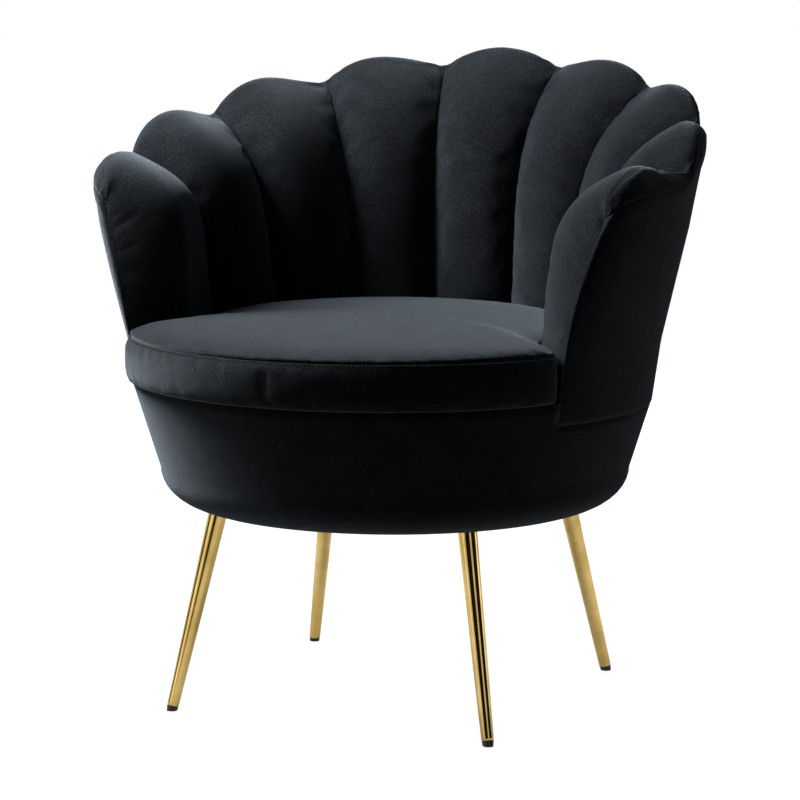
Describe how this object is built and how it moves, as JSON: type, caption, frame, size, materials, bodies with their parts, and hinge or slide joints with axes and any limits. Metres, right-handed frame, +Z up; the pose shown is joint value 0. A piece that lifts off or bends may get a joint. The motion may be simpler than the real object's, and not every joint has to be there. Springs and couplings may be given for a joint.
{
  "type": "club chair",
  "caption": "Tub club chair with a scalloped, channelled wrap-around back, a loose round seat cushion, a drum base and splayed slim metal legs.",
  "frame": {"origin": "on the floor, under the middle of the chair's bounding box", "axes": "+Z up; the seat's front faces -Y; +X is to the right as seen from the front"},
  "size_m": [0.7528, 0.709, 0.7878],
  "materials": {
    "velvet": "matte",
    "brass_plate": "polished",
    "foot_plastic": "matte",
    "timber": "matte",
    "bent_board": "matte",
    "zinc_steel": "satin",
    "zip_metal": "satin",
    "foam": "matte",
    "felt": "matte",
    "dust_cloth": "matte",
    "deck_cloth": "matte",
    "webbing": "matte",
    "zip_tape": "matte"
  },
  "bodies": {
    "chair": {"base_board": "timber", "frame_posts": "timber", "post_screws": "zinc_steel", "seat_ring": "timber", "drum_panel": "bent_board", "base_wadding": "foam", "base_cover": "velvet", "dust_cover": "dust_cloth", "dust_staples": "zinc_steel", "leg_plates": "zinc_steel", "leg_screws": "zinc_steel", "leg_front_left": "brass_plate", "leg_front_right": "brass_plate", "leg_rear_left": "brass_plate", "leg_rear_right": "brass_plate", "foot_cap_front_left": "foot_plastic", "foot_cap_front_right": "foot_plastic", "foot_cap_rear_left": "foot_plastic", "foot_cap_rear_right": "foot_plastic", "webbing_long_1": "webbing", "webbing_long_2": "webbing", "webbing_long_3": "webbing", "webbing_long_4": "webbing", "webbing_cross_1": "webbing", "webbing_cross_2": "webbing", "webbing_cross_3": "webbing", "webbing_cross_4": "webbing", "webbing_staples": "zinc_steel", "deck_pad": "felt", "deck_cover": "deck_cloth", "back_rib_1": "timber", "back_rib_2": "timber", "back_rib_3": "timber", "back_rib_4": "timber", "back_rib_5": "timber", "back_rib_6": "timber", "back_rib_7": "timber", "back_rib_8": "timber", "arm_post_left": "timber", "arm_post_right": "timber", "rib_screws": "zinc_steel", "inner_panel": "bent_board", "outer_panel": "bent_board", "outer_cover": "velvet", "channel_1": "velvet", "channel_2": "velvet", "channel_3": "velvet", "channel_4": "velvet", "channel_5": "velvet", "channel_6": "velvet", "channel_7": "velvet", "channel_8": "velvet", "channel_9": "velvet", "channel_foams": "foam"},
    "seat_cushion": {"cushion_cover": "velvet", "cushion_foam": "foam", "cushion_zip": "zip_tape"},
    "zip_slider": {"zip_slider": "zip_metal"}
  },
  "joints": [
    {"name": "cushion_lift", "type": "slide", "parent": "chair", "child": "seat_cushion", "axis": [0, 0, 1], "range_m": [0, 0.42]},
    {"name": "zip_slide", "type": "hinge", "parent": "seat_cushion", "child": "zip_slider", "pos_m": [0, -0.0335, 0.427], "axis": [0, 0, 1], "range_deg": [0, 115]}
  ]
}
